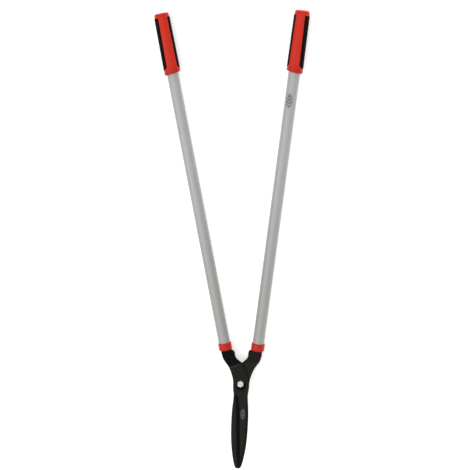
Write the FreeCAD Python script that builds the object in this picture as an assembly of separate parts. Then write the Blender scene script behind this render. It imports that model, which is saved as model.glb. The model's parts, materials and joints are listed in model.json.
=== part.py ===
"""Long-handled garden shears: two tubular handles, two crossed blades on one pivot bolt.

Every sub-part is written as one STEP file to parts/, in millimetres.

Three frames are used.
  Head frame    origin on the pivot axis between the blades, +X to the right handle,
                +Y from the blade tips towards the handles, +Z out of the front blade.
  Handle frame  origin on the fold line where both necks crank up out of the blade plane,
                +Y along the centre line between the handles, +Z up.
                The handles lie flat in it and the head hangs from it by the crank angle.
  Side frame    origin where a tube's axis meets the fold line, +Y up the tube,
                +X outwards, away from the other handle, +Z up.
The finished part stands in the row frame: the handle frame moved so that its origin is on
the ground, under the middle of the part.
"""
import FreeCAD, Part
import math
import os

Vec = FreeCAD.Vector
ORIGIN = Vec(0, 0, 0)
AXIS_X, AXIS_Y, AXIS_Z = Vec(1, 0, 0), Vec(0, 1, 0), Vec(0, 0, 1)

# ---------------------------------------------------------------- driving dimensions
CRANK = 22.0            # degrees between the blade plane and the handle plane
SPLAY = 9.0             # degrees that each handle leans out from the centre line
FOLD_Y = 44.0           # pivot axis to the fold line, along the head
FOOT_X = 29.8           # centre line to a tube's axis, on the fold line

BLADE_LENGTH = 181.0    # pivot axis to the tips
PLATE = 5.0             # thickness of the arms and of the blades at the pivot
TIP_PLATE = 3.0         # thickness left at the tips, before the bevels
HALF_GAP = 0.15         # each blade's inner face to the shear plane
EDGE_LAND = 0.35        # thickness left on a cutting edge
BEVEL_WIDTH = 10.5      # cutting bevel, square to the edge
SPINE_LAND = 1.9        # thickness left on a blade's back edge
SPINE_WIDTH = 4.5       # back bevel, square to the back edge
HOLLOW_RADIUS = 160.0   # hollow grind on the inner faces
HOLLOW_DEPTH = 0.45     # at the heel, fading out before the tip
NECK_PLATE = 9.5        # thickness of a neck where it meets its collar
ROUNDING = 0.9          # on the outer rim of each forging
STOP_CLEARANCE = 0.12   # closed blades: stop lug to the other arm

BUSH_RADIUS, BOLT_RADIUS = 5.0, 4.0
FIXED_FIT, RUNNING_FIT = 0.02, 0.05
HEX_FLATS = 13.0        # bolt head and nut, across the flats
HEAD_HEIGHT, NUT_HEIGHT, NUT_HEX_HEIGHT = 5.3, 8.0, 5.6
WASHER_RADIUS, WASHER_PLATE = 8.5, 1.6
DISC_RADIUS, DISC_PLATE, DISC_HEIGHT = 8.0, 0.9, 1.5
FRICTION_RADIUS, FRICTION_PLATE = 11.0, 1.0
BOLT_STICKS_OUT = 1.3

TUBE_RADIUS, TUBE_WALL = 12.5, 1.2
COLLAR_RADIUS, COLLAR_START, COLLAR_LENGTH, COLLAR_WEB = 14.4, 33.2, 16.3, 2.5
SPIGOT_WIDTH, SPIGOT_PLATE, SPIGOT_END = 20.0, 9.0, 86.0
SLEEVE_END = 90.0
PIN_RADIUS, PIN_AT = 2.0, 42.5

HANDLE_END = 771.5      # fold line to the far end of a grip, along the tube
GRIP_LENGTH = 128.5
GRIP_FOOT_RADIUS, GRIP_TOP_RADIUS = 17.2, 16.1
GRIP_END_RADIUS, GRIP_END_WALL = 12.8, 4.0
GRIP_FOOT_SLANT = 6.5   # degrees: the grip reaches further down on its outer side
STRIP_FOOT, STRIP_TOP = 22.4, 19.4   # width of the hard strip left between the soft pads
PAD_DEPTH, PAD_PROUD = 1.8, 0.35
PAD_FOOT, PAD_TOP = 17.5, 9.5   # hard band left below and above the pads
PAD_FOOT_BULGE = 9.0    # the rounded lower end of a pad
GRIP_TURN = {"left": 19.0, "right": 3.0}   # degrees that each grip is turned inwards on its tube

# ---------------------------------------------------------------- outlines in the head frame
# The front blade's rim, seen from the front. The back blade's is the same one mirrored.
CROTCH = (0.0, 47.8)
INNER_KNEE = (9.0, 25.0)
NECK_INNER = [(-20.2, 74.2), (-15.7, 69.2), (-14.5, 61.8), (-8.9, 54.2), CROTCH]
BLADE_BACK = [INNER_KNEE, (14.6, 12.0), (16.9, -2.0), (15.9, -19.0), (17.5, -48.0),
              (18.6, -86.0), (17.3, -120.0), (13.3, -152.0), (10.6, -165.0),
              (8.5, -173.0), (5.9, -178.4), (2.0, -BLADE_LENGTH)]
BLADE_EDGE = [(-1.8, -179.6), (-3.3, -172.0), (-5.4, -153.0), (-7.8, -118.0), (-9.4, -84.0),
              (-11.2, -48.0), (-14.2, -26.0), (-16.6, -11.0), (-17.1, 1.5)]
ARM_OUTER = [BLADE_EDGE[-1], (-19.0, 14.0), (-23.6, 27.5), (-30.6, 40.5),
             (-39.6, 52.5), (-42.9, 61.0), (-45.3, 77.2)]


def spline(points, start=None, end=None):
    """One smooth edge through the points, with its end directions if they are given."""
    curve = Part.BSplineCurve()
    knots = [Vec(x, y, 0) for x, y in points]
    if start and end:
        curve.interpolate(Points=knots, InitialTangent=Vec(*start, 0), FinalTangent=Vec(*end, 0))
    else:
        curve.interpolate(knots)
    return curve.toShape()


def segment(a, b):
    return Part.makeLine(Vec(*a, 0), Vec(*b, 0))


def forging_rim():
    """The face inside the front blade's rim, in the plane z = 0."""
    edges = [
        spline(NECK_INNER),
        segment(CROTCH, INNER_KNEE),
        spline(BLADE_BACK),
        segment(BLADE_BACK[-1], BLADE_EDGE[0]),
        spline(BLADE_EDGE),
        spline(ARM_OUTER),
        segment(ARM_OUTER[-1], NECK_INNER[0]),
    ]
    return Part.Face(Part.Wire(edges))


# ---------------------------------------------------------------- forged blades
def neck_point(along, height):
    """Head-frame (y, z) of a point given along and above the handle plane."""
    turn = math.radians(CRANK)
    return (FOLD_Y + along * math.cos(turn) - height * math.sin(turn),
            along * math.sin(turn) + height * math.cos(turn))


def fold_point(height):
    """Head-frame (y, z) of the mitre where a layer at this height folds up."""
    return (FOLD_Y - height * math.tan(math.radians(CRANK / 2)), height)


def side_slab(front):
    """The forging seen from the side, as a slab wider than its rim.

    front is 1 for the blade in front of the shear plane and -1 for the one behind it.
    """
    inner, outer = front * HALF_GAP, front * (HALF_GAP + PLATE)
    half_neck = front * NECK_PLATE / 2
    straight, beyond = 5.0, COLLAR_START + 15
    taper_start, past_tip = -18.0, -BLADE_LENGTH - 16
    thin = (PLATE - TIP_PLATE) * (past_tip - taper_start) / (BLADE_LENGTH + taper_start)
    profile = [
        (past_tip, inner),
        fold_point(inner),
        neck_point(straight, inner),
        neck_point(COLLAR_START, -half_neck),
        neck_point(beyond, -half_neck),
        neck_point(beyond, half_neck),
        neck_point(COLLAR_START, half_neck),
        fold_point(outer),
        (taper_start, outer),
        (past_tip, outer + front * thin),
    ]
    half_width = 80.0
    points = [Vec(-half_width, y, z) for y, z in profile]
    slab = Part.Face(Part.makePolygon(points + points[:1])).extrude(Vec(2 * half_width, 0, 0))
    bend_radius = 14.0
    folds = [fold_point(inner), fold_point(outer)]
    bends = [e for e in slab.Edges
             if abs(e.Length - 2 * half_width) < 1e-6
             and any(math.dist((e.CenterOfMass.y, e.CenterOfMass.z), f) < 1e-6 for f in folds)]
    return slab.makeFillet(bend_radius, bends)


def wedge_loft(stations):
    """A ruled solid through one quadrilateral per station, each given as (y, [(x, z), ...])."""
    wires = []
    for y, corners in stations:
        points = [Vec(x, y, z) for x, z in corners]
        wires.append(Part.makePolygon(points + points[:1]))
    return Part.makeLoft(wires, True, True)


def outer_face_height(y):
    """Height of the front blade's outer face above the shear plane, at y below the pivot."""
    taper_start = -18.0
    thin = (PLATE - TIP_PLATE) * (y - taper_start) / (BLADE_LENGTH + taper_start)
    return HALF_GAP + PLATE + min(0.0, thin)


def bevel_cutter(rim_points, inwards, width, land, clear_y, full_y):
    """What grinding takes off along one long edge of the front blade.

    rim_points are points of that edge, inwards is the x direction into the blade.
    No metal is taken at clear_y, and the full bevel starts at full_y.
    """
    over, top = 5.0, 14.0
    stations = []
    for x, y in rim_points:
        face = outer_face_height(y)
        shown = min(1.0, max(0.0, (clear_y - y) / (clear_y - full_y)))
        slope = (face - HALF_GAP - land) / width
        low = face + 1.0 - shown * (face + 1.0 - HALF_GAP - land)
        outside, inside = x - inwards * over, x + inwards * (width + over)
        stations.append((y, [(outside, low - slope * over), (inside, low + slope * (width + over)),
                             (inside, top), (outside, top)]))
    return wedge_loft(stations)


def cutting_bevel():
    clear_y, full_y = -15.0, -27.0
    rim = [(-16.2, clear_y), (-14.1, full_y), (-11.2, -48.0), (-9.4, -84.0), (-7.8, -118.0),
           (-5.4, -153.0), (-3.3, -172.0), (-1.6, -195.0)]
    return bevel_cutter(rim, 1, BEVEL_WIDTH, EDGE_LAND, clear_y, full_y)


def back_bevel():
    clear_y, full_y = -24.0, -44.0
    rim = [(16.1, clear_y), (17.3, full_y), (18.6, -86.0), (17.3, -120.0),
           (13.3, -152.0), (8.5, -173.0), (3.0, -195.0)]
    return bevel_cutter(rim, -1, SPINE_WIDTH, SPINE_LAND, clear_y, full_y)


def hollow_grind():
    """A shallow cylindrical hollow in the inner face, deepest at the heel."""
    heel = Vec(3.5, -31.0, HALF_GAP + HOLLOW_DEPTH - HOLLOW_RADIUS)
    fade = Vec(3.5, -166.0, HALF_GAP - HOLLOW_RADIUS)
    return Part.makeCylinder(HOLLOW_RADIUS, (fade - heel).Length, heel, fade - heel)


def stop_lug():
    """A lug under the front arm. It meets the back arm's inner edge when the blades are shut."""
    top, knee = Vec(*CROTCH, 0), Vec(-INNER_KNEE[0], INNER_KNEE[1], 0)
    along = (knee - top).normalize()
    away = Vec(along.y, -along.x, 0)
    near, far, width = 9.0, 19.0, 6.5
    corners = [top + along * s + away * w
               for s, w in ((near, STOP_CLEARANCE), (far, STOP_CLEARANCE), (far, width), (near, width))]
    foot, embedded = -PLATE + HALF_GAP, 0.5
    for corner in corners:
        corner.z = foot
    block = Part.Face(Part.makePolygon(corners + corners[:1])).extrude(
        Vec(0, 0, HALF_GAP + embedded - foot))
    rim = [e for e in block.Edges if abs(e.CenterOfMass.z - foot) < 1e-6]
    return block.makeChamfer(0.8, rim)


def round_outer_rim(solid, front):
    """Rounds the edge between the outer face and the side wall, all along the arm."""
    outer = front * (HALF_GAP + PLATE)
    face = max((f for f in solid.Faces
                if abs(f.CenterOfMass.z - outer) < 1e-3 and f.Surface.TypeId == "Part::GeomPlane"),
               key=lambda f: f.Area)
    rim = [e for e in face.Edges if e.CenterOfMass.y < FOLD_Y - 3 and e.Length > 2
           and not (e.Curve.TypeId == "Part::GeomLine" and abs(e.tangentAt(e.FirstParameter).x) > 0.99)]
    return solid.makeFillet(ROUNDING, rim)


def spigot():
    """The flat bar that runs from a neck into its tube, in the side frame."""
    start = COLLAR_START - 1.0
    bar = Part.makeBox(SPIGOT_WIDTH, SPIGOT_END - start, SPIGOT_PLATE,
                       Vec(-SPIGOT_WIDTH / 2, start, -SPIGOT_PLATE / 2))
    long_edges = [e for e in bar.Edges if abs(e.Length - (SPIGOT_END - start)) < 1e-6]
    bar = bar.makeFillet(2.0, long_edges)
    end_edges = [e for e in bar.Edges if abs(e.CenterOfMass.y - SPIGOT_END) < 1e-6]
    return bar.makeChamfer(1.5, end_edges)


def forging(side):
    """One blade with its arm, neck and spigot, in the handle frame."""
    front = 1 if side == "left" else -1
    height = 60.0
    rim = forging_rim().extrude(Vec(0, 0, 2 * height))
    rim.translate(Vec(0, 0, -height))
    cutters = [cutting_bevel(), back_bevel(), hollow_grind()]
    if front < 0:
        half_turn = FreeCAD.Placement(ORIGIN, FreeCAD.Rotation(AXIS_Y, 180))
        rim = rim.transformGeometry(half_turn.toMatrix())
        cutters = [c.transformGeometry(half_turn.toMatrix()) for c in cutters]
    solid = rim.common(side_slab(front))
    solid = round_outer_rim(solid, front)
    solid = solid.cut(cutters)
    if front > 0:
        solid = solid.fuse(stop_lug())
    fit = FIXED_FIT if front > 0 else RUNNING_FIT
    bore = Part.makeCylinder(BUSH_RADIUS + fit, 4 * PLATE, Vec(0, 0, -2 * PLATE))
    seat_floor = FRICTION_PLATE / 2 + (0 if front > 0 else FIXED_FIT)
    seat = Part.makeCylinder(FRICTION_RADIUS + 0.2, 2 * seat_floor, Vec(0, 0, -seat_floor))
    solid = head_to_handle(solid.cut([bore, seat]))
    trimmed = solid.cut(side_to_handle(beyond_collar_foot(), side))
    neck = max(trimmed.Solids, key=lambda s: s.Volume)
    pin_hole = Part.makeCylinder(PIN_RADIUS + FIXED_FIT, 40, Vec(0, PIN_AT, -20))
    bar = side_to_handle(spigot().cut(pin_hole), side)
    return neck.fuse(bar).removeSplitter()


def beyond_collar_foot():
    size = 120.0
    return Part.makeBox(size, size, size, Vec(-size / 2, COLLAR_START, -size / 2))


# ---------------------------------------------------------------- pivot hardware, head frame
def hexagon(height, base):
    """A hexagonal prism along Z with two of its flats facing X."""
    corner_radius = HEX_FLATS / math.sqrt(3)
    points = [Vec(corner_radius * math.sin(math.radians(60 * i)),
                  corner_radius * math.cos(math.radians(60 * i)), base) for i in range(6)]
    return Part.Face(Part.makePolygon(points + points[:1])).extrude(Vec(0, 0, height))


def turned(profile):
    """A solid of revolution about Z from (radius, z) points."""
    points = [Vec(r, 0, z) for r, z in profile]
    return Part.Face(Part.makePolygon(points + points[:1])).revolve(ORIGIN, AXIS_Z, 360)


HEAD_BASE = HALF_GAP + PLATE
WASHER_TOP = -HALF_GAP - PLATE - FIXED_FIT
DISC_TOP = WASHER_TOP - WASHER_PLATE
NUT_TOP = DISC_TOP - DISC_HEIGHT


def pivot_bolt():
    top = HEAD_BASE + HEAD_HEIGHT
    corner = HEX_FLATS / math.sqrt(3)
    dome = turned([(0, HEAD_BASE), (corner + 1, HEAD_BASE), (corner + 1, top - 2.2),
                   (HEX_FLATS / 2 - 0.3, top - 0.7), (HEX_FLATS / 2 - 1.6, top - 0.15), (0, top)])
    head = hexagon(HEAD_HEIGHT, HEAD_BASE).common(dome)
    end = NUT_TOP - NUT_HEIGHT - BOLT_STICKS_OUT
    shank = turned([(0, end), (BOLT_RADIUS - 0.8, end), (BOLT_RADIUS, end + 0.8),
                    (BOLT_RADIUS, HEAD_BASE + 0.5), (0, HEAD_BASE + 0.5)])
    return head.fuse(shank).removeSplitter()


def ring(outer, inner, top, thickness):
    body = Part.makeCylinder(outer, thickness, Vec(0, 0, top - thickness))
    return body.cut(Part.makeCylinder(inner, thickness + 2, Vec(0, 0, top - thickness - 1)))


def pivot_bush():
    return ring(BUSH_RADIUS, BOLT_RADIUS + FIXED_FIT, HEAD_BASE, HEAD_BASE - WASHER_TOP)


def friction_washer():
    return ring(FRICTION_RADIUS, BUSH_RADIUS + FIXED_FIT, FRICTION_PLATE / 2, FRICTION_PLATE)


def flat_washer():
    washer = ring(WASHER_RADIUS, BOLT_RADIUS + 0.2, WASHER_TOP, WASHER_PLATE)
    rim = [e for e in washer.Edges if abs(e.BoundBox.XLength - 2 * WASHER_RADIUS) < 1e-3]
    return washer.makeChamfer(0.3, rim)


def disc_spring():
    """A conical spring washer, its rim against the flat washer and its eye on the nut."""
    eye = BOLT_RADIUS + 0.2
    return turned([(eye, NUT_TOP), (eye, NUT_TOP + DISC_PLATE), (DISC_RADIUS, DISC_TOP),
                   (DISC_RADIUS, DISC_TOP - DISC_PLATE)])


def lock_nut():
    foot = NUT_TOP - NUT_HEIGHT
    hex_foot = NUT_TOP - NUT_HEX_HEIGHT
    corner = HEX_FLATS / math.sqrt(3)
    crown, shoulder = 5.9, 6.1
    blank = turned([(0, NUT_TOP), (shoulder, NUT_TOP), (corner + 0.2, NUT_TOP - 0.9),
                    (corner + 0.2, hex_foot + 0.9), (shoulder, hex_foot), (0, hex_foot)])
    body = hexagon(NUT_HEX_HEIGHT, hex_foot).common(blank)
    skirt = turned([(0, hex_foot + 0.5), (crown, hex_foot + 0.5), (crown, foot + 0.8),
                    (crown - 0.8, foot), (0, foot)])
    thread = Part.makeCylinder(BOLT_RADIUS + FIXED_FIT, 2 * NUT_HEIGHT, Vec(0, 0, foot - 2))
    seat = Part.makeCylinder(5.2, 2.2, Vec(0, 0, foot + 0.4))
    mouth = Part.makeCylinder(4.9, 1.0, Vec(0, 0, foot - 0.5))
    return body.fuse(skirt).cut([thread, seat, mouth]).removeSplitter()


def nut_nylon_ring():
    foot = NUT_TOP - NUT_HEIGHT
    return ring(5.2 - FIXED_FIT, BOLT_RADIUS + FIXED_FIT, foot + 2.55, 2.1)


# ---------------------------------------------------------------- handle parts, side frame
def rod(radius, start, end):
    return Part.makeCylinder(radius, end - start, Vec(0, start, 0), AXIS_Y)


def spun(profile):
    """A solid of revolution about the tube's axis from (radius, along) points."""
    points = [Vec(r, y, 0) for r, y in profile]
    return Part.Face(Part.makePolygon(points + points[:1])).revolve(ORIGIN, AXIS_Y, 360)


TUBE_START = COLLAR_START + COLLAR_WEB
GRIP_START = HANDLE_END - GRIP_LENGTH


def tube():
    end = HANDLE_END - GRIP_END_WALL - 0.5
    pipe = rod(TUBE_RADIUS, TUBE_START, end)
    pipe = pipe.cut(rod(TUBE_RADIUS - TUBE_WALL, TUBE_START - 1, end + 1))
    return pipe.cut(Part.makeCylinder(PIN_RADIUS + FIXED_FIT, 40, Vec(0, PIN_AT, -20)))


def spigot_slot(clearance, start, end):
    slot = Part.makeBox(SPIGOT_WIDTH + 2 * clearance, end - start, SPIGOT_PLATE + 2 * clearance,
                        Vec(-SPIGOT_WIDTH / 2 - clearance, start, -SPIGOT_PLATE / 2 - clearance))
    long_edges = [e for e in slot.Edges if abs(e.Length - (end - start)) < 1e-6]
    return slot.makeFillet(1.9, long_edges)


def collar():
    foot, top, rim = COLLAR_START, COLLAR_START + COLLAR_LENGTH, 0.7
    ferrule = spun([(0, foot), (COLLAR_RADIUS - rim, foot), (COLLAR_RADIUS, foot + rim),
                    (COLLAR_RADIUS, top - rim), (COLLAR_RADIUS - rim, top), (0, top)])
    bore = rod(TUBE_RADIUS + FIXED_FIT, TUBE_START, top + 1)
    return ferrule.cut([bore, spigot_slot(0.1, foot - 1, TUBE_START + 1)])


def tang_sleeve():
    blank = rod(TUBE_RADIUS - TUBE_WALL - FIXED_FIT, TUBE_START, SLEEVE_END)
    pin_hole = Part.makeCylinder(PIN_RADIUS + FIXED_FIT, 40, Vec(0, PIN_AT, -20))
    return blank.cut([spigot_slot(0.05, TUBE_START - 1, SPIGOT_END + 0.5), pin_hole])


def tang_pin():
    reach = TUBE_RADIUS - 0.3
    pin = Part.makeCylinder(PIN_RADIUS, 2 * reach, Vec(0, PIN_AT, -reach))
    return pin.makeChamfer(0.4, [e for e in pin.Edges if e.Closed])


def grip_radius(along):
    share = (along - GRIP_START) / (HANDLE_END - PAD_TOP - GRIP_START)
    return GRIP_FOOT_RADIUS + share * (GRIP_TOP_RADIUS - GRIP_FOOT_RADIUS)


def grip_blank(offset):
    """The grip's outer form, moved in or out by offset."""
    foot, cap = GRIP_START - 5, HANDLE_END - PAD_TOP + 1
    profile = [
        (0, foot),
        (grip_radius(foot) + offset, foot),
        (grip_radius(cap) + offset, cap),
        (GRIP_END_RADIUS + 2.6 + offset, HANDLE_END - 5.0),
        (GRIP_END_RADIUS + 1.8 + offset, HANDLE_END - 1.6),
        (GRIP_END_RADIUS + 1.2 + offset, HANDLE_END - 0.5),
        (GRIP_END_RADIUS + offset, HANDLE_END),
        (0, HANDLE_END),
    ]
    return spun(profile)


def pad_window(outwards):
    """The space that one soft pad fills, seen from the side: straight, with a rounded foot."""
    foot, top = GRIP_START + PAD_FOOT, HANDLE_END - PAD_TOP
    half = 14.5
    corners = [Vec(0, foot, -half), Vec(0, top, -half), Vec(0, top, half), Vec(0, foot, half)]
    edges = [Part.makeLine(a, b) for a, b in zip(corners, corners[1:])]
    edges.append(Part.Arc(corners[3], Vec(0, foot - PAD_FOOT_BULGE, 0), corners[0]).toShape())
    window = Part.Face(Part.Wire(edges)).extrude(Vec(outwards * 30, 0, 0))
    window.translate(Vec(outwards * STRIP_FOOT / 2, 0, 0))
    taper = math.degrees(math.atan2((STRIP_FOOT - STRIP_TOP) / 2, top - foot))
    window.rotate(Vec(outwards * STRIP_FOOT / 2, foot, 0), AXIS_Z, outwards * taper)
    return window


def grip_pad(outwards):
    ring_space = grip_blank(PAD_PROUD).cut(grip_blank(-PAD_DEPTH))
    return ring_space.common(pad_window(outwards))


def grip_shell():
    blank = grip_blank(0)
    bore = rod(TUBE_RADIUS + FIXED_FIT, GRIP_START - 20, HANDLE_END - GRIP_END_WALL)
    below = Part.makeBox(80, 60, 80, Vec(-40, -60, -40))
    below.rotate(ORIGIN, AXIS_Z, -GRIP_FOOT_SLANT)
    below.translate(Vec(0, GRIP_START, 0))
    pockets = [grip_blank(PAD_PROUD + 1).cut(grip_blank(-PAD_DEPTH)).common(pad_window(w)) for w in (1, -1)]
    return blank.cut([bore, below] + pockets)


# ---------------------------------------------------------------- placing
def head_to_handle(shape):
    placed = shape.copy()
    placed.translate(Vec(0, -FOLD_Y, 0))
    placed.rotate(ORIGIN, AXIS_X, -CRANK)
    return placed


def side_to_handle(shape, side):
    placed = shape.copy()
    placed.rotate(ORIGIN, AXIS_Z, -SPLAY)
    placed.translate(Vec(FOOT_X, 0, 0))
    return placed.mirror(ORIGIN, AXIS_X) if side == "left" else placed


def turned_grip(shape, side):
    """Turns a grip part on its tube, its front strip towards the other handle."""
    turned_part = shape.copy()
    turned_part.rotate(ORIGIN, AXIS_Y, -GRIP_TURN[side])
    return turned_part


def row_shift():
    """From the handle frame to the row frame: ground level and the middle of the length."""
    lean = math.radians(SPLAY)
    far_end = HANDLE_END * math.cos(lean) + GRIP_END_RADIUS * math.sin(lean)
    tip_y = -(FOLD_Y + BLADE_LENGTH) * math.cos(math.radians(CRANK))
    return Vec(0, -(far_end + tip_y) / 2, GRIP_FOOT_RADIUS)


def build():
    parts = {
        "front_blade": forging("left"),
        "back_blade": forging("right"),
        "pivot_bolt": head_to_handle(pivot_bolt()),
        "pivot_bush": head_to_handle(pivot_bush()),
        "friction_washer": head_to_handle(friction_washer()),
        "flat_washer": head_to_handle(flat_washer()),
        "disc_spring": head_to_handle(disc_spring()),
        "lock_nut": head_to_handle(lock_nut()),
        "nut_nylon_ring": head_to_handle(nut_nylon_ring()),
    }
    for side in ("left", "right"):
        parts[side + "_tube"] = side_to_handle(tube(), side)
        parts[side + "_collar"] = side_to_handle(collar(), side)
        parts[side + "_tang_sleeve"] = side_to_handle(tang_sleeve(), side)
        parts[side + "_tang_pin"] = side_to_handle(tang_pin(), side)
        parts[side + "_grip_shell"] = side_to_handle(turned_grip(grip_shell(), side), side)
        parts[side + "_grip_pad_outer"] = side_to_handle(turned_grip(grip_pad(1), side), side)
        parts[side + "_grip_pad_inner"] = side_to_handle(turned_grip(grip_pad(-1), side), side)
    for shape in parts.values():
        shape.translate(row_shift())
    return parts


def main():
    os.makedirs("parts", exist_ok=True)
    whole = FreeCAD.BoundBox()
    for name, shape in build().items():
        shape.exportStep("parts/" + name + ".step")
        whole.add(shape.optimalBoundingBox(False))
        print(name, "solids", len(shape.Solids), "valid", shape.isValid(), "mm3", round(shape.Volume, 1))
    print("box", whole)


main()
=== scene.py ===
"""The looks of a pair of long-handled garden shears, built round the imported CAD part.

Lengths in the tables and functions below are millimetres unless a comment says otherwise, and
pieces are made in two kinds of local frame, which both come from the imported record:
  head frame  origin on the pivot, X to the right handle, Y from the tips to the handles,
              Z along the hinge axis, out of the front blade
  tube frame  origin 771.5 mm below a grip's end on the tube's axis, Y up the tube, Z up,
              X to the right for both sides, so outwards is +X on the right and -X on the left
"""

import json
import math

import bmesh
import bpy
from mathutils import Matrix, Vector


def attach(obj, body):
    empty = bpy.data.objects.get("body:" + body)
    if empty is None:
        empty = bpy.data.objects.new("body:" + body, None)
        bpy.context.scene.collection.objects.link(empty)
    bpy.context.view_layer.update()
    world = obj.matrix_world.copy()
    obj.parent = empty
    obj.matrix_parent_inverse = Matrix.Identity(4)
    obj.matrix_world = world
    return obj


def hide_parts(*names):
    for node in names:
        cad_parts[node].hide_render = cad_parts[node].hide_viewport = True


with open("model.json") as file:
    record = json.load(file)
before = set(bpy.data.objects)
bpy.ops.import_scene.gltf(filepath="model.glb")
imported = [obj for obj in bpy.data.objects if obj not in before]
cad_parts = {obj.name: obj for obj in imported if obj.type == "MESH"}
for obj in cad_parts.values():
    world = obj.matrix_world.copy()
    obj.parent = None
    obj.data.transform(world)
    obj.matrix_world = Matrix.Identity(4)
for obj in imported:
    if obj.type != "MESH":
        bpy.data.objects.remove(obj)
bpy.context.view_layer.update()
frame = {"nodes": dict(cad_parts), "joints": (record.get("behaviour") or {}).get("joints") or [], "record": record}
MM = 0.001
FIT = 0.02                                # clearance of pieces that touch, so that no faces coincide
WELD = 1e-7                               # metres: points of a mesh this close together are one
SIDES = {"left": -1, "right": 1}          # the sign of outwards along the tube frame's X
BODY = {"left": "left_half", "right": "right_half"}
RECORD = frame["record"]

# ---------------------------------------------------------------- sizes that repeat the CAD part's
TUBE_RADIUS, TUBE_WALL, TUBE_END_GAP = 12.5, 1.2, 0.5
COLLAR_RADIUS, COLLAR_START, COLLAR_LENGTH, COLLAR_WEB = 14.4, 33.2, 16.3, 2.5
TUBE_START = COLLAR_START + COLLAR_WEB
SLOT_HALF_WIDTH, SLOT_HALF_HEIGHT, SLOT_CORNER = 10.1, 4.6, 1.9
HANDLE_END, GRIP_LENGTH = 771.5, 128.5
GRIP_START = HANDLE_END - GRIP_LENGTH
GRIP_FOOT_RADIUS, GRIP_TOP_RADIUS, GRIP_END_RADIUS, GRIP_END_WALL = 17.2, 16.1, 12.8, 4.0
GRIP_FOOT_SLANT = math.radians(6.5)
GRIP_TURN = {"left": math.radians(19.0), "right": math.radians(3.0)}
STRIP_FOOT, STRIP_TOP = 22.4, 19.4        # width of the red strips between the pads
PAD_DEPTH, PAD_PROUD = 1.8, 0.35
PAD_FOOT, PAD_TOP = 17.5, 9.5             # from the grip's foot and from the handle's end
PAD_FOOT_BULGE, PAD_FOOT_HALF = 9.0, 14.5

HALF_GAP, PLATE, TIP_PLATE, BLADE_LENGTH, TAPER_START = 0.15, 5.0, 3.0, 181.0, -18.0
HEX_FLATS, HEAD_HEIGHT, NUT_HEIGHT, NUT_HEX_HEIGHT = 13.0, 5.3, 8.0, 5.6
BOLT_RADIUS, BOLT_STICKS_OUT = 4.0, 1.3
THREAD_PITCH, THREAD_DEPTH = 1.25, 0.62
WASHER_RADIUS, WASHER_PLATE, WASHER_CLEARANCE = 8.5, 1.6, 0.2
DISC_RADIUS, DISC_PLATE, DISC_HEIGHT = 8.0, 0.9, 1.5
INSERT_SEAT_RADIUS, INSERT_RADIUS = 5.2, 5.18
HEAD_BASE = HALF_GAP + PLATE
WASHER_TOP = -HEAD_BASE - FIT
DISC_TOP = WASHER_TOP - WASHER_PLATE
NUT_TOP = DISC_TOP - DISC_HEIGHT
NUT_FOOT = NUT_TOP - NUT_HEIGHT
BOLT_END = NUT_FOOT - BOLT_STICKS_OUT


# ---------------------------------------------------------------- local frames from the record
def matrix_from(x_axis, y_axis, z_axis, origin):
    columns = Matrix((x_axis, y_axis, z_axis)).transposed().to_4x4()
    return Matrix.Translation(origin) @ columns


def head_frame():
    hinge = frame["joints"][0]
    z_axis = Vector(hinge["axis"]).normalized()
    x_axis = Vector((1, 0, 0))
    return matrix_from(x_axis, z_axis.cross(x_axis), z_axis, Vector(hinge["pos_m"]))


def tube_frame(side):
    mount = next(m for m in RECORD["mounts"] if m["name"] == side + "_grip_end")
    y_axis, z_axis = Vector(mount["axis"]).normalized(), Vector((0, 0, 1))
    origin = Vector(mount["pos_m"]) - y_axis * HANDLE_END * MM
    return matrix_from(y_axis.cross(z_axis), y_axis, z_axis, origin)


HEAD = head_frame()
TUBE = {side: tube_frame(side) for side in SIDES}


# ---------------------------------------------------------------- mesh helpers
def finish_piece(name, points, faces, place, body, slot, stands_for=(), sharp=35.0):
    """A closed piece from points in millimetres in a local frame, riding on a CAD body."""
    mesh = bpy.data.meshes.new(name)
    mesh.from_pydata([(x * MM, y * MM, z * MM) for x, y, z in points], [], faces)
    work = bmesh.new()
    work.from_mesh(mesh)
    bmesh.ops.remove_doubles(work, verts=work.verts, dist=WELD)
    bmesh.ops.recalc_face_normals(work, faces=work.faces)
    work.to_mesh(mesh)
    work.free()
    mesh.shade_smooth()
    mesh.set_sharp_from_angle(angle=math.radians(sharp))
    piece = bpy.data.objects.new(name, mesh)
    bpy.context.scene.collection.objects.link(piece)
    piece.matrix_world = place
    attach(piece, body)
    if stands_for:
        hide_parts(*stands_for)
    mesh.materials.append(MATERIALS[slot])
    return piece


def loft(rings, looped=False):
    """Points and faces of a closed skin through rings of equal length.

    A looped skin joins its last ring to its first. Otherwise a ring of one point at each end
    closes it with a fan.
    """
    points, starts = [], []
    for ring in rings:
        starts.append(len(points))
        points.extend(ring)
    faces = []
    pairs = list(zip(range(len(rings) - 1), range(1, len(rings))))
    if looped:
        pairs.append((len(rings) - 1, 0))
    for a, b in pairs:
        count = max(len(rings[a]), len(rings[b]))
        for i in range(count):
            j = (i + 1) % count
            if len(rings[a]) == 1:
                faces.append((starts[a], starts[b] + j, starts[b] + i))
            elif len(rings[b]) == 1:
                faces.append((starts[a] + i, starts[a] + j, starts[b]))
            else:
                faces.append((starts[a] + i, starts[a] + j, starts[b] + j, starts[b] + i))
    return points, faces


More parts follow.
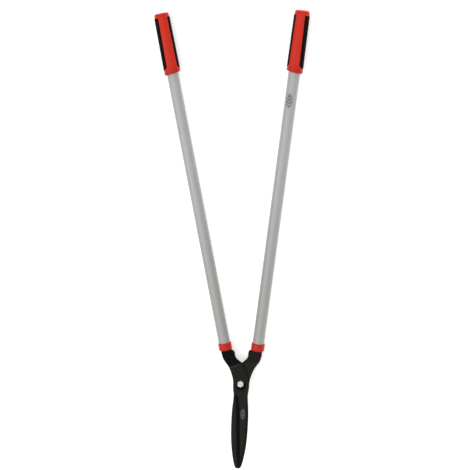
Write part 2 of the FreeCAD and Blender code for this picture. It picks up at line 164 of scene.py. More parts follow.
def soften(profile, radius, steps=4, closed=False):
    """The profile with each corner replaced by a small curve that starts radius away from it."""
    largest_share = 0.45      # of a side's length, that one corner may take
    count = len(profile)
    out = []
    for i, corner in enumerate(profile):
        if not closed and i in (0, count - 1):
            out.append(corner)
            continue
        corner = Vector(corner)
        before, after = Vector(profile[i - 1]), Vector(profile[(i + 1) % count])
        back = min(radius, largest_share * (before - corner).length,
                   largest_share * (after - corner).length)
        a = corner + (before - corner).normalized() * back
        b = corner + (after - corner).normalized() * back
        for k in range(steps + 1):
            t = k / steps
            out.append(tuple(a * (1 - t) ** 2 + corner * 2 * t * (1 - t) + b * t ** 2))
    return out


def turned_y(radius, along, segments):
    """A ring about the tube frame's Y. radius is a number or a function of the angle."""
    ring = []
    for i in range(segments):
        angle = 2 * math.pi * i / segments
        r = radius(angle) if callable(radius) else radius
        ring.append((r * math.cos(angle), along, r * math.sin(angle)))
    return ring


def turned_z(radius, height, segments):
    """A ring about the head frame's Z. radius and height are numbers or functions of the angle."""
    ring = []
    for i in range(segments):
        angle = 2 * math.pi * i / segments
        r = radius(angle) if callable(radius) else radius
        z = height(angle) if callable(height) else height
        ring.append((r * math.cos(angle), r * math.sin(angle), z))
    return ring


def slab(top, bottom):
    """Points and faces of a closed slab between two grids of the same size."""
    rows, columns = len(top), len(top[0])
    points = [p for row in top for p in row] + [p for row in bottom for p in row]
    under = rows * columns
    faces = []
    for r in range(rows - 1):
        for c in range(columns - 1):
            a, b = r * columns + c, r * columns + c + 1
            d, e = a + columns, b + columns
            faces.append((a, b, e, d))
            faces.append((under + a, under + d, under + e, under + b))
    wall_painted_light = ([(0, c) for c in range(columns - 1)]
           + [(r, columns - 1) for r in range(rows - 1)]
           + [(rows - 1, c) for c in range(columns - 1, 0, -1)]
           + [(r, 0) for r in range(rows - 1, 0, -1)])
    ids = [r * columns + c for r, c in wall_painted_light]
    for a, b in zip(ids, ids[1:] + ids[:1]):
        faces.append((a, under + a, under + b, b))
    return points, faces


def mix(a, b, share):
    return a + (b - a) * share


# ---------------------------------------------------------------- material helpers
def add_node(tree, kind, sockets=(), **settings):
    """A shader node. sockets maps an input's name or number to a value or to another output."""
    made = tree.nodes.new("ShaderNode" + kind)
    for key, value in settings.items():
        setattr(made, key, value)
    for key, value in dict(sockets).items():
        if isinstance(value, bpy.types.NodeSocket):
            tree.links.new(value, made.inputs[key])
        else:
            made.inputs[key].default_value = value
    return made


class Look:
    """A material under construction: one Principled shader and the nodes that feed it."""

    def __init__(self, name):
        self.material = bpy.data.materials.new(name)
        self.material.use_nodes = True
        self.tree = self.material.node_tree
        self.tree.nodes.clear()
        self.shader = self.tree.nodes.new("ShaderNodeBsdfPrincipled")
        output = self.tree.nodes.new("ShaderNodeOutputMaterial")
        self.tree.links.new(self.shader.outputs[0], output.inputs[0])
        self.place = add_node(self.tree, "TexCoord")

    def set(self, **sockets):
        for key, value in sockets.items():
            name = key.replace("_", " ")
            if isinstance(value, bpy.types.NodeSocket):
                self.tree.links.new(value, self.shader.inputs[name])
            else:
                self.shader.inputs[name].default_value = value

    def coords(self, scale=(1000, 1000, 1000), source=None):
        """The piece's own coordinates times a scale. The default scale gives millimetres."""
        source = source or self.place.outputs["Object"]
        return add_node(self.tree, "Mapping", {"Vector": source, "Scale": scale}).outputs[0]

    def seen_from_head(self, output, origin, scale):
        """A coordinate of a piece kept from the CAD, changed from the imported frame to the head's."""
        return add_node(self.tree, "Mapping",
                        {"Vector": self.place.outputs[output], "Location": origin,
                         "Rotation": HEAD.to_euler(), "Scale": scale},
                        vector_type="TEXTURE").outputs[0]

    def noise(self, vector, scale, detail=3.0, rough=0.55):
        return add_node(self.tree, "TexNoise", {"Vector": vector, "Scale": scale, "Detail": detail,
                                                "Roughness": rough}).outputs["Fac"]

    def pebbles(self, vector, scale):
        return add_node(self.tree, "TexVoronoi", {"Vector": vector, "Scale": scale},
                        feature="SMOOTH_F1").outputs["Distance"]

    def ramp(self, value, low, high, out_low=0.0, out_high=1.0):
        """Maps low..high to out_low..out_high, smoothly and clamped."""
        return add_node(self.tree, "MapRange", {"Value": value, "From Min": low, "From Max": high,
                                                "To Min": out_low, "To Max": out_high},
                        interpolation_type="SMOOTHSTEP").outputs[0]

    def math(self, operation, *values):
        return add_node(self.tree, "Math", enumerate(values), operation=operation).outputs[0]

    def plus(self, a, b):
        return self.math("ADD", a, b)

    def times(self, a, b):
        return self.math("MULTIPLY", a, b)

    def length(self, a, b):
        return self.math("SQRT", self.plus(self.times(a, a), self.times(b, b)))

    def blend(self, share, a, b):
        """A colour between a and b."""
        made = add_node(self.tree, "Mix", {0: share}, data_type="RGBA")
        for number, value in ((6, a), (7, b)):
            if isinstance(value, bpy.types.NodeSocket):
                self.tree.links.new(value, made.inputs[number])
            else:
                made.inputs[number].default_value = (*value, 1)
        return made.outputs[2]

    def cover(self, under, mask, amount, colour):
        """The colour under, with another laid over it by an amount where the mask is."""
        return self.blend(self.times(mask, amount), under, colour)

    def bump(self, height, distance_mm, strength=1.0, under=None):
        sockets = {"Height": height, "Distance": distance_mm * MM, "Strength": strength}
        if under is not None:
            sockets["Normal"] = under
        return add_node(self.tree, "Bump", sockets).outputs[0]

    def split(self, vector):
        return add_node(self.tree, "SeparateXYZ", {0: vector}).outputs

    def edges(self, radius_mm):
        """About 0 on flats and up to 1 on sharp edges."""
        round_normal = add_node(self.tree, "Bevel", {"Radius": radius_mm * MM}, samples=4).outputs[0]
        true_normal = add_node(self.tree, "NewGeometry").outputs["Normal"]
        dot = add_node(self.tree, "VectorMath", {0: round_normal, 1: true_normal},
                       operation="DOT_PRODUCT").outputs["Value"]
        return self.ramp(dot, 0.99, 0.80)


# ---------------------------------------------------------------- materials
def tube_grey():
    """Satin grey coating over drawn aluminium, duller towards the foot."""
    look = Look("satin_grey_coating")
    place = look.coords()
    _, along, _ = look.split(place)
    clouds = look.noise(place, 0.035, 4)
    specks = look.ramp(look.noise(place, 2.2, 2), 0.62, 0.72)
    draw_lines = look.noise(look.coords((3200, 22, 3200)), 1.0, 2)
    handled = look.ramp(look.noise(look.coords((260, 60, 260)), 1.0, 5, 0.65), 0.52, 0.75)
    # darker and a little warmer towards the collars
    darker_to_collars = look.ramp(along, 0.80 * GRIP_START, 0.20 * GRIP_START)
    tint = look.blend(clouds, (0.420, 0.435, 0.421), (0.472, 0.487, 0.472))
    tint = look.cover(tint, darker_to_collars, 0.60, (0.350, 0.358, 0.336))
    tint = look.cover(tint, handled, 0.18, (0.30, 0.30, 0.285))
    tint = look.cover(tint, specks, 0.20, (0.52, 0.53, 0.52))
    rough = look.plus(look.ramp(clouds, 0.3, 0.7, 0.40, 0.48), look.times(handled, 0.08))
    peel = look.bump(look.noise(place, 1.1, 2), 0.02, 0.5)
    look.set(Base_Color=tint, Metallic=0.25, Specular_IOR_Level=0.4, Roughness=rough,
             Normal=look.bump(draw_lines, 0.012, 0.6, under=peel))
    return look.material


def red_plastic():
    """Semi-gloss moulded plastic with a fine spark-eroded skin, with patchy painted shade on the foot of the grips
    and over the collars.
    """
    look = Look("red_moulded_plastic")
    place = look.coords()
    _, along, _ = look.split(place)
    clouds = look.noise(place, 0.06, 4)
    grain = look.noise(place, 3.4, 3, 0.6)
    scuffs = look.ramp(look.noise(look.coords((900, 70, 900)), 1.0, 5, 0.7), 0.58, 0.74)
    # painted shade: darker, in patches, on the grips' foot and over the whole of the collars, which sit lower on
    # the tube
    foot_and_collar_shade = look.times(look.ramp(along, GRIP_START + 17.0, GRIP_START + 9.0),
                        look.ramp(clouds, 0.3, 0.7, 0.60, 1.0))
    tint = look.blend(clouds, (0.622, 0.019, 0.003), (0.678, 0.025, 0.007))
    tint = look.cover(tint, scuffs, 0.10, (0.62, 0.11, 0.07))
    tint = look.cover(tint, foot_and_collar_shade, 0.75, (0.460, 0.018, 0.005))
    rough = look.plus(look.ramp(grain, 0.3, 0.7, 0.30, 0.42), look.times(scuffs, 0.12))
    flow = look.bump(look.noise(place, 0.10, 2), 0.05, 0.25)
    look.set(Base_Color=tint, Specular_IOR_Level=0.24, Roughness=rough,
             Normal=look.bump(grain, 0.018, 0.6, under=flow))
    return look.material


def black_rubber():
    """Soft-touch rubber with a fine pebbled skin."""
    look = Look("black_soft_rubber")
    place = look.coords()
    grain = look.noise(place, 4.0, 3)
    worn = look.ramp(look.noise(look.coords((110, 45, 110)), 1.0, 5, 0.6), 0.45, 0.72)
    tint = look.blend(worn, (0.0030, 0.0023, 0.0021), (0.0066, 0.0053, 0.0048))
    rough = look.plus(look.ramp(grain, 0.3, 0.7, 0.68, 0.82), look.times(worn, -0.10))
    skin = look.bump(look.pebbles(place, 1.25), 0.09, 0.7)
    look.set(Base_Color=tint, Specular_IOR_Level=0.06, Roughness=rough, Sheen_Weight=0.01,
             Sheen_Roughness=0.5, Normal=look.bump(grain, 0.02, 0.4, under=skin))
    return look.material


# A cutting edge: (distance from the start, distance of the edge from the blade's middle line). The
# start is EDGE_RUN below the pivot, just past the tip, and the last point is level with the pivot.
EDGE_RUN, EDGE_REACH = 190.0, 20.0
EDGE_LINE = [(10.4, 1.8), (18.0, 3.3), (37.0, 5.4), (72.0, 7.8), (106.0, 9.4), (142.0, 11.2),
             (164.0, 14.2), (179.0, 16.6), (190.0, 17.1)]


def edge_distance(look, along):
    """The distance of the cutting edge from the middle line, as a curve of the height along."""
    share = add_node(look.tree, "MapRange",
                     {"Value": along, "From Min": -EDGE_RUN, "From Max": 0.0}).outputs[0]
    curve = add_node(look.tree, "FloatCurve", {"Value": share})
    shares = [(run / EDGE_RUN, reach / EDGE_REACH) for run, reach in EDGE_LINE]
    line = curve.mapping.curves[0]
    for u, v in shares[1:-1]:
        line.points.new(u, v)
    line.points[0].location = shares[0]
    line.points[-1].location = shares[-1]
    curve.mapping.update()
    return look.times(curve.outputs[0], EDGE_REACH)


def front_marks(look, tint, side, along, slant, facing):
    """What only the front blade shows: a painted highlight along its bend, painted light on its side walls above
    the pivot, and a painted shadow round the bolt.
    """
    # painted highlight along the bend, on the left arm
    bend_highlight = look.times(look.ramp(slant, 39.5, 44.0), look.ramp(slant, 47.0, 44.8))
    bend_highlight = look.times(bend_highlight, look.ramp(side, -1.0, -11.0))
    tint = look.cover(tint, bend_highlight, 0.55, (0.044, 0.046, 0.041))
    # painted light: the side walls above the pivot, right of the middle, drawn paler to lift their shade
    wall_painted_light = look.times(look.ramp(facing, 0.75, 0.35), look.ramp(along, 4.0, 10.0))
    wall_painted_light = look.times(wall_painted_light, look.ramp(side, -1.0, 3.0))
    tint = look.cover(tint, wall_painted_light, 0.80, (0.036, 0.037, 0.032))
    # painted shadow of the bolt head; its middle lies a little off the bolt, towards the tips
    from_bolt_shadow = look.length(look.plus(side, -0.8), look.plus(along, 3.4))
    bolt_shadow = look.times(look.ramp(from_bolt_shadow, 11.8, 9.0), look.ramp(facing, 0.5, 0.9))
    return look.cover(tint, bolt_shadow, 0.90, (0.0012, 0.0012, 0.0010))


def blade_black(name, front):
    """Satin black non-stick coating on ground steel, with painted shade darkening the bevels and the necks.

    front is 1 for the front blade, whose cutting edge lies on the left, and -1 for the back blade.
    """
    look = Look(name)
    in_head = look.seen_from_head("Object", HEAD.translation, (MM, MM, MM))
    normal = look.seen_from_head("Normal", (0, 0, 0), (1, 1, 1))
    side, along, _ = look.split(in_head)
    across, _, facing = look.split(normal)
    lean = look.math("ABSOLUTE", across)
    to_spine = look.times(side, float(front))
    blade_only = look.ramp(along, -8.0, -16.0)
    # the ground bevels, found by how far their faces lean: darkened below as painted shade, and streaked by
    # grinding
    ground = look.times(look.ramp(lean, 0.12, 0.28), blade_only)
    ground = look.times(ground, look.ramp(lean, 0.92, 0.80))
    ground = look.times(ground, look.ramp(to_spine, 8.0, 2.0, 0.45, 1.0))
    clouds = look.noise(in_head, 0.05, 4)
    grain = look.noise(in_head, 1.7, 3, 0.6)
    mottle = look.noise(in_head, 0.42, 4, 0.65)

    flat_tint = look.blend(clouds, (0.0144, 0.0149, 0.0110), (0.0206, 0.0212, 0.0162))
    painted_shade_tint = look.blend(clouds, (0.0014, 0.0014, 0.0011), (0.0028, 0.0028, 0.0022))
    slant = look.plus(along, look.times(side, -0.35 if front > 0 else 0.0))
    # painted shade on the necks, weaker on the back blade's
    neck = look.times(look.ramp(slant, 45.0, 49.0), 1.0 if front > 0 else 0.45)
    tint = look.blend(look.math("MAXIMUM", ground, neck), flat_tint, painted_shade_tint)
    forged = look.times(look.ramp(along, -22.0, -14.0), look.ramp(mottle, 0.42, 0.62))
    tint = look.cover(tint, forged, 0.30, (0.0045, 0.0045, 0.0038))

    # a polished strip along the cutting edge: smoother, and paler than the darkened bevel as a painted highlight
    inwards = look.plus(to_spine, edge_distance(look, along))
    honed_edge_highlight = look.times(look.ramp(inwards, 3.5, 1.4), blade_only)
    tint = look.blend(look.times(honed_edge_highlight, look.ramp(clouds, 0.3, 0.6, 0.5, 0.9)), tint,
                      (0.0165, 0.0165, 0.0150))
    scratches = look.ramp(look.noise(look.coords((1.1, 0.035, 1.1), in_head), 1.0, 4, 0.75), 0.62, 0.70)
    tint = look.cover(tint, scratches, 0.16, (0.05, 0.05, 0.045))
    if front > 0:
        tint = front_marks(look, tint, side, along, slant, facing)
    broken = look.ramp(look.noise(in_head, 0.35, 4, 0.7), 0.40, 0.68)
    wear = look.times(look.edges(0.35), broken)
    tint = look.cover(tint, wear, 0.30, (0.12, 0.118, 0.110))

    grinding = look.noise(look.coords((0.08, 5.5, 0.08), in_head), 1.0, 2)
    streaks = look.times(look.math("SUBTRACT", grinding, 0.5), look.times(ground, 0.3))
    polish = look.times(look.math("MAXIMUM", wear, honed_edge_highlight), 0.10)
    rough = look.plus(look.ramp(grain, 0.3, 0.7, 0.40, 0.52), streaks)
    rough = look.math("SUBTRACT", rough, polish)
    look.set(Base_Color=tint, Roughness=rough, Specular_IOR_Level=0.055 if front > 0 else 0.080)
    skin = look.bump(grain, 0.03, 0.5)
    cast = look.bump(mottle, 0.10, 0.45, under=skin)
    look.set(Normal=look.bump(look.times(grinding, ground), 0.03, 0.5, under=cast))
    return look.material


def metal(name, tint_low, tint_high, rough_low, rough_high, pits):
    """Machined metal with turning marks about the head frame's Z."""
    look = Look(name)
    place = look.coords()
    x, y, z = look.split(place)
    lathe = add_node(look.tree, "CombineXYZ", {0: look.length(x, y), 2: z}).outputs[0]
    turning = look.noise(lathe, 3.0, 2)
    clouds = look.noise(place, 0.45, 4)
    spots = look.ramp(look.noise(place, 1.4, 4, 0.65), 0.55, 0.70)
    tint = look.blend(clouds, tint_low, tint_high)
    tint = look.cover(tint, spots, 0.35, tuple(0.55 * v for v in tint_low))
    rough = look.plus(look.ramp(clouds, 0.3, 0.7, rough_low, rough_high), look.times(spots, 0.12))
    skin = look.bump(spots, 0.02, pits)
    look.set(Base_Color=tint, Roughness=rough, Metallic=1.0,
             Normal=look.bump(turning, 0.02, 0.5, under=skin))
    return look.material


def plastic(name, tint_low, tint_high, rough_low, rough_high):
    """Unpainted moulded plastic for the hidden fittings."""
    look = Look(name)
    place = look.coords()
    clouds = look.noise(place, 0.3, 4)
    grain = look.noise(place, 3.0, 3)
    look.set(Base_Color=look.blend(clouds, tint_low, tint_high),
             Roughness=look.ramp(grain, 0.3, 0.7, rough_low, rough_high),
             Normal=look.bump(grain, 0.02, 0.5))
    return look.material


def print_ink(name, tint_low, tint_high):
    """Thin printed ink, a little worn."""
    look = Look(name)
    place = look.coords()
    clouds = look.noise(place, 0.9, 5, 0.7)
    look.set(Base_Color=look.blend(look.ramp(clouds, 0.35, 0.65), tint_low, tint_high),
             Roughness=look.ramp(clouds, 0.3, 0.7, 0.45, 0.60),
             Normal=look.bump(look.noise(place, 3.0, 2), 0.01, 0.4))
    return look.material


MATERIALS = {
    "tube_grey": tube_grey(),
    "red_plastic": red_plastic(),
    "black_rubber": black_rubber(),
    "blade_black": blade_black("black_blade_coating_front", 1),
    "zinc_plate": metal("bright_zinc_plate", (0.52, 0.53, 0.52), (0.80, 0.80, 0.78), 0.20, 0.36, 0.8),
    "spring_steel": metal("oiled_spring_steel", (0.24, 0.23, 0.22), (0.34, 0.33, 0.31), 0.28, 0.42, 0.3),
    "bush_bronze": metal("oiled_bronze", (0.40, 0.26, 0.12), (0.50, 0.33, 0.16), 0.25, 0.40, 0.3),
    "nylon": plastic("blue_nylon", (0.055, 0.14, 0.42), (0.075, 0.18, 0.50), 0.35, 0.5),
    "acetal": plastic("greased_acetal", (0.66, 0.65, 0.58), (0.76, 0.75, 0.69), 0.3, 0.45),
    "sleeve_plastic": plastic("glass_filled_nylon", (0.03, 0.03, 0.03), (0.055, 0.055, 0.055),
                              0.5, 0.65),
}
BACK_BLADE_LOOK = blade_black("black_blade_coating_back", -1)
DARK_INK = print_ink("dark_print", (0.145, 0.150, 0.145), (0.24, 0.245, 0.24))
PALE_INK = print_ink("pale_print", (0.055, 0.056, 0.052), (0.095, 0.096, 0.090))


# ---------------------------------------------------------------- tubes and collars
ROUND = 128            # segments round a handle part


def make_tube(side):
    inner, end = TUBE_RADIUS - TUBE_WALL, HANDLE_END - GRIP_END_WALL - TUBE_END_GAP
    rounding = 0.3
    section = soften([(TUBE_RADIUS, TUBE_START), (TUBE_RADIUS, end), (inner, end),
                      (inner, TUBE_START)], rounding, 3, closed=True)
    points, faces = loft([turned_y(r, y, ROUND) for r, y in section], looped=True)
    finish_piece(side + "_painted_tube", points, faces, TUBE[side], BODY[side], "tube_grey",
                 [side + "_tube"])


def slot_radius(angle):
    """The neck's slot in a collar's web: a rounded rectangle, as a radius for each angle."""
    c, s = abs(math.cos(angle)), abs(math.sin(angle))
    flat = min(SLOT_HALF_WIDTH / max(c, 1e-9), SLOT_HALF_HEIGHT / max(s, 1e-9))
    corner_x, corner_y = SLOT_HALF_WIDTH - SLOT_CORNER, SLOT_HALF_HEIGHT - SLOT_CORNER
    if flat * c > corner_x and flat * s > corner_y:
        dot = c * corner_x + s * corner_y
        return dot + math.sqrt(SLOT_CORNER ** 2 - corner_x ** 2 - corner_y ** 2 + dot ** 2)
    return flat


def make_collar(side):
    """A red collar: a bevelled foot, a groove round it and a lip that closes on the tube."""
    foot, top = COLLAR_START, COLLAR_START + COLLAR_LENGTH
    bore = TUBE_RADIUS + FIT
    groove = COLLAR_RADIUS - 0.22
    rounding = 0.55
    outside = soften([(COLLAR_RADIUS - 1.6, foot), (COLLAR_RADIUS - 0.25, foot),
                      (COLLAR_RADIUS, foot + 2.2), (COLLAR_RADIUS, foot + 3.1),
                      (groove, foot + 3.35), (groove, foot + 3.75), (COLLAR_RADIUS, foot + 4.0),
                      (COLLAR_RADIUS, top - 1.2), (bore + 0.12, top), (bore, top - 0.4)], rounding, 5)
    rings = [turned_y(slot_radius, TUBE_START, ROUND), turned_y(slot_radius, foot, ROUND)]
    rings += [turned_y(r, y, ROUND) for r, y in outside]
    rings.append(turned_y(bore, TUBE_START, ROUND))
    points, faces = loft(rings, looped=True)
    finish_piece(side + "_ferrule", points, faces, TUBE[side], BODY[side], "red_plastic",
                 [side + "_collar"])


# ---------------------------------------------------------------- grips
def grip_radius(along):
    share = (along - GRIP_START) / (HANDLE_END - PAD_TOP - GRIP_START)
    return mix(GRIP_FOOT_RADIUS, GRIP_TOP_RADIUS, share)


def half_strip(along):
    foot, top = GRIP_START + PAD_FOOT, HANDLE_END - PAD_TOP
    return mix(STRIP_FOOT, STRIP_TOP, (along - foot) / (top - foot)) / 2


def edge_angle(along, radius, gap=0.0):
    """The angle, from straight outwards, of a pad's long edge."""
    return math.acos(min(1.0, (half_strip(along) + gap) / radius))


def pad_foot_line(height):
    """How far up the tube a pad starts, at this height above the tube's axis."""
    bulge = PAD_FOOT_BULGE
    arc = (PAD_FOOT_HALF ** 2 + bulge ** 2) / (2 * bulge)
    return GRIP_START + PAD_FOOT - bulge + arc - math.sqrt(arc ** 2 - height ** 2)


def grip_point(side, radius, angle, along):
    turned = angle + GRIP_TURN[side]
    return (SIDES[side] * radius * math.cos(turned), along, radius * math.sin(turned))


SEAM = 0.12                                        # gap round each pad
LIPS = ((0.0, -0.42), (0.22, -0.12), (0.65, 0.0))  # distance from a pad's edge, height of the shell
LIP_END = LIPS[-1][0]
SHELL_PAD_COLUMNS, SHELL_STRIP_COLUMNS = 10, 15
SHELL_FOOT_ROWS, SHELL_PAD_ROWS, SHELL_SHOULDER_ROWS = 5, 26, 5
FOOT_CURVE = ((1.5, 0.0), (0.75, 0.12), (0.28, 0.5), (0.06, 1.0), (0.0, 1.7))    # inset, rise
FOOT_CURVE_END = FOOT_CURVE[-1][1]
CAP_RADIUS, CAP_DISH = GRIP_END_RADIUS + 2.6, 0.35
# the rounded end from the shoulder inwards: share of the cap's radius, drop from the handle's end
CAP = ((1.0, 5.0), (0.975, 2.4), (0.93, 1.1), (0.84, 0.45), (0.62, 0.05))


def shell_columns(along):
    """(angle, height over the grip's skin, is it under a pad) of each point round the shell."""
    radius = grip_radius(along)
    edge, floor = edge_angle(along, radius), edge_angle(along, radius - PAD_DEPTH, SEAM)
    columns = []
    for middle in (0.0, math.pi):
        for k in range(SHELL_PAD_COLUMNS + 1):
            w = 2 * k / SHELL_PAD_COLUMNS - 1
            columns.append((middle + w * floor, -PAD_DEPTH, True))
        for off, height in LIPS:
            columns.append((middle + edge + off / radius, height, False))
        start = middle + edge + LIP_END / radius
        end = middle + math.pi - edge - LIP_END / radius
        for k in range(1, SHELL_STRIP_COLUMNS):
            columns.append((mix(start, end, k / SHELL_STRIP_COLUMNS), 0.0, False))
        for off, height in reversed(LIPS):
            columns.append((middle + math.pi - edge - off / radius, height, False))
    return columns


def foot_line(angle, radius):
    """How far up the tube a grip's slanted foot is, at this angle."""
    return GRIP_START - radius * math.cos(angle) * math.tan(GRIP_FOOT_SLANT)


def pad_line(angle):
    """Where the pads start at this angle, carried on level across the strips."""
    radius = grip_radius(GRIP_START + PAD_FOOT)
    edge = edge_angle(GRIP_START + PAD_FOOT, radius)
    return pad_foot_line(radius * min(abs(math.sin(angle)), math.sin(edge)))


def make_shell(side):
    """The hard red body of a grip: bored for the tube, with a pocket for each pad."""
    bore, bore_end = TUBE_RADIUS + FIT, HANDLE_END - GRIP_END_WALL
    pad_foot, pad_top = GRIP_START + PAD_FOOT, HANDLE_END - PAD_TOP
    foot_columns, top_columns = shell_columns(pad_foot), shell_columns(pad_top)
    rings = [[(0, bore_end, 0)]]

    def add_ring(columns, place):
        """place(angle, under a pad) gives a point's radius and how far up the tube it is."""
        ring = []
        for angle, _, under in columns:
            radius, along = place(angle, under)
            ring.append(grip_point(side, radius, angle, along))
        rings.append(ring)

    def on_surface(along, height=0.0):
        return grip_radius(along) + height, along

    # the bore and its lead-in, then the foot and the skin up to the pads
    add_ring(foot_columns, lambda angle, _: (bore, bore_end))
    add_ring(foot_columns, lambda angle, _: (bore, foot_line(angle, bore) + 0.8))
    add_ring(foot_columns, lambda angle, _: (bore + 0.5, foot_line(angle, bore) + 0.1))
    for inset, rise in FOOT_CURVE:
        add_ring(foot_columns, lambda angle, _: on_surface(foot_line(angle, GRIP_FOOT_RADIUS) + rise,
                                                           -inset))
    for k in range(1, SHELL_FOOT_ROWS):
        add_ring(foot_columns, lambda angle, _: on_surface(
            mix(foot_line(angle, GRIP_FOOT_RADIUS) + FOOT_CURVE_END, pad_line(angle) - 0.8,
                k / SHELL_FOOT_ROWS)))
    for off, drop in reversed(LIPS):
        add_ring(foot_columns, lambda angle, under: on_surface(pad_line(angle) - off,
                                                               drop if under else 0.0))
    # beside the pads each column follows the pads' edges
    for k in range(SHELL_PAD_ROWS + 1):
        ring = []
        for i, (foot_angle, _, _) in enumerate(foot_columns):
            along = mix(pad_line(foot_angle) + SEAM, pad_top - SEAM, k / SHELL_PAD_ROWS)
            angle, height, _ = shell_columns(along)[i]
            ring.append(grip_point(side, grip_radius(along) + height, angle, along))
        rings.append(ring)
    for off, drop in LIPS:
        add_ring(top_columns, lambda _, under: on_surface(pad_top + off, drop if under else 0.0))
    # the shoulder and the rounded end
    shoulder, cap_foot = grip_radius(pad_top + LIP_END), HANDLE_END - CAP[0][1]
    for k in range(1, SHELL_SHOULDER_ROWS):
        t = k / SHELL_SHOULDER_ROWS
        add_ring(top_columns, lambda *_: (mix(shoulder, CAP_RADIUS, t ** 1.6),
                                          mix(pad_top + LIP_END, cap_foot, t)))
    for share, drop in CAP:
        add_ring(top_columns, lambda *_: (CAP_RADIUS * share, HANDLE_END - drop))
    rings.append([(0, HANDLE_END - CAP_DISH, 0)])
    points, faces = loft(rings)
    finish_piece(side + "_grip_body", points, faces, TUBE[side], BODY[side], "red_plastic",
                 [side + "_grip_shell"], sharp=50.0)


def spread(fine, total, count):
    """Positions from 0 to total: fine ones by both ends, evenly spaced between."""
    middle = [mix(fine[-1], total - fine[-1], k / count) for k in range(1, count)]
    return [*fine, *middle, *[total - f for f in reversed(fine)]]


PAD_ROUND, PAD_BEDDING = 1.0, 0.05   # rounding of a pad's edge, its height over the pocket's floor
PAD_COLUMNS, PAD_ROWS = 26, 40
FINE = (0.0, 0.08, 0.22, 0.42, 0.68, 1.0, 1.5)


def make_pad(side, name, middle):
    """A soft pad: crowned, with rounded edges and a round foot."""
    pad_foot, pad_top = GRIP_START + PAD_FOOT, HANDLE_END - PAD_TOP - SEAM
    reach = grip_radius(pad_foot)
    foot_edge = edge_angle(pad_foot, reach, SEAM)
    width, length = 2 * foot_edge * reach, pad_top - GRIP_START - PAD_FOOT
    across = [2 * s / width - 1 for s in spread(FINE, width, PAD_COLUMNS)]
    up = [s / length for s in spread(FINE, length, PAD_ROWS)]
    top, bottom = [], []
    for v in up:
        top_row, bottom_row = [], []
        for w in across:
            start = pad_foot_line(reach * math.sin(abs(w) * foot_edge)) + SEAM
            along = mix(start, pad_top, v)
            radius = grip_radius(along)
            edge = edge_angle(along, radius, SEAM)
            inset = min((1 - abs(w)) * edge * radius, along - start, pad_top - along)
            lack = max(0.0, 1 - inset / PAD_ROUND)
            crown = PAD_PROUD - PAD_ROUND * (1 - math.sqrt(max(0.0, 1 - lack ** 2)))
            top_row.append(grip_point(side, radius + crown, middle + w * edge, along))
            floor = edge_angle(along, radius - PAD_DEPTH, 2 * SEAM)
            bottom_row.append(grip_point(side, radius - PAD_DEPTH + PAD_BEDDING, middle + w * floor,
                                         along))
        top.append(top_row)
        bottom.append(bottom_row)
    points, faces = slab(top, bottom)
    finish_piece(f"{side}_soft_pad_{name}", points, faces, TUBE[side], BODY[side], "black_rubber",
                 [f"{side}_grip_pad_{name}"], sharp=60.0)


# ---------------------------------------------------------------- pivot hardware
TURNS = 144            # segments round a turned part
BROKEN_CORNER = 0.10   # what the hexagons' corners lack
HEAD_CHAMFER = (HEX_FLATS / 2 - 0.3, 0.7, 1.5 / 2.38)    # radius of its circle, drop there, slope
NUT_CHAMFER = (6.1, 0.08, 0.55)
# from the dish in the head's middle to the chamfer: radius, drop from the top
HEAD_TOP = ((1.2, 0.22), (2.35, 0.20), (2.6, 0.06), (2.9, 0.0), (4.6, 0.0), (5.0, 0.03), (5.6, 0.34),
            HEAD_CHAMFER[:2])
THREAD_ROWS, THREAD_START_ROWS = 60, 6


def hexagon(angle):
    """Radius of a hexagon whose flats face X, with its corners just broken."""
    sixth = math.pi / 3
    off = (angle + sixth / 2) % sixth - sixth / 2
    return min(HEX_FLATS / 2 / math.cos(off), HEX_FLATS / math.sqrt(3) - BROKEN_CORNER)


def between(inner, share):
    """Radius between a circle and the hexagon."""
    return lambda angle: mix(inner, hexagon(angle), share)


def chamfer_height(end, chamfer, sign, share=1.0):
    """Height of a conical chamfer from its circle, share 0, out to the hexagon, share 1.

    end is the height of the part's end, and sign is 1 for an upper end and -1 for a lower one.
    """
    circle, drop, slope = chamfer
    start = end - sign * drop
    return lambda angle: mix(start, end - sign * (drop + (hexagon(angle) - circle) * slope), share)


def thread_radius(angle, height):
    phase = (height / THREAD_PITCH - angle / (2 * math.pi)) % 1.0
    flank = abs(2 * phase - 1) * 1.15 - 0.08      # a little past 0 and 1, so roots and crests are flat
    return BOLT_RADIUS - THREAD_DEPTH * min(1.0, max(0.0, flank))


def make_bolt():
    """A hexagon head with a dished top, a plain shank and a thread that starts at the nut."""
    top = HEAD_BASE + HEAD_HEIGHT
    skirt = chamfer_height(top, HEAD_CHAMFER, 1)
    rings = [[(0, 0, top - HEAD_TOP[0][1])]]
    rings += [turned_z(r, top - drop, TURNS) for r, drop in HEAD_TOP]
    for share in (0.3, 0.6, 0.9):
        rings.append(turned_z(between(HEAD_CHAMFER[0], share),
                              chamfer_height(top, HEAD_CHAMFER, 1, share), TURNS))
    # the six flanks, the broken edge below them, and the shank
    rings += [turned_z(hexagon, lambda angle: skirt(angle) - 0.10, TURNS),
              turned_z(hexagon, HEAD_BASE + 0.35, TURNS),
              turned_z(lambda angle: hexagon(angle) - 0.3, HEAD_BASE, TURNS),
              turned_z(BOLT_RADIUS, HEAD_BASE, TURNS), turned_z(BOLT_RADIUS, NUT_TOP, TURNS)]
    for k in range(1, THREAD_ROWS + 1):
        z = mix(NUT_TOP, BOLT_END + 0.5, k / THREAD_ROWS)
        depth = min(1.0, k / THREAD_START_ROWS)
        rings.append(turned_z(lambda angle: mix(BOLT_RADIUS, thread_radius(angle, z), depth), z, TURNS))
    rings += [turned_z(BOLT_RADIUS - 0.75, BOLT_END + 0.12, TURNS),
              turned_z(BOLT_RADIUS - 1.1, BOLT_END, TURNS), [(0, 0, BOLT_END)]]
    points, faces = loft(rings)
    finish_piece("pivot_bolt_turned", points, faces, HEAD, "left_half", "zinc_plate", ["pivot_bolt"],
                 sharp=22.0)


